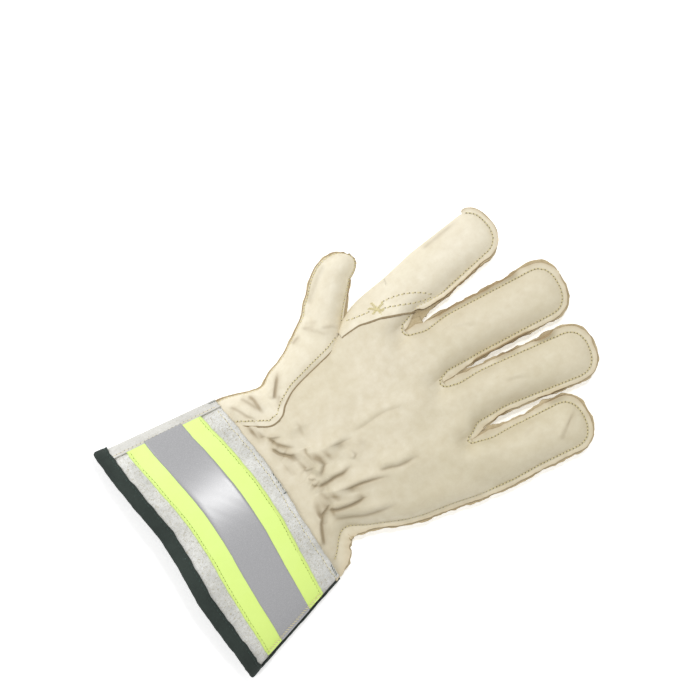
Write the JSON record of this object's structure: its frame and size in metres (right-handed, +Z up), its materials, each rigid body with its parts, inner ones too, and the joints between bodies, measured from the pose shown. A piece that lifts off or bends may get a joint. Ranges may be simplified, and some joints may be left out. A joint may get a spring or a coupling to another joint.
{
  "type": "arborist glove",
  "caption": "Right-hand leather arborist glove with raw outward finger seams, a gathered wrist and a stiff canvas gauntlet cuff banded in reflective tape.",
  "frame": {"origin": "on the underside of the palm patch, under the middle of the hand, at the height of the surface that the glove lies on", "axes": "+X from the cuff to the fingertips, +Y to the thumb side, +Z up from the palm to the back of the hand"},
  "size_m": [0.2952, 0.1908, 0.0377],
  "materials": {
    "grain_leather": "smooth cream grain, satin",
    "palm_leather": "cream grain with raw tan edges",
    "patch_leather": "matt split leather",
    "cuff_canvas": "stiff off-white canvas, matt",
    "dark_binding": "dark woven tape, matt",
    "lime_tape": "fluorescent yellow, matt",
    "silver_tape": "grey retroreflective, satin"
  },
  "bodies": {
    "root": {"back_panel": "grain_leather", "thumb_back": "grain_leather", "palm_panel": "palm_leather", "finger_fronts": "palm_leather", "thumb_front": "palm_leather", "palm_patch": "patch_leather", "wrist_patch": "patch_leather", "cuff_back": "cuff_canvas", "cuff_palm": "cuff_canvas", "cuff_binding": "dark_binding", "side_binding": "dark_binding", "reflective_tape": "lime_tape", "silver_stripe": "silver_tape"}
  },
  "joints": []
}
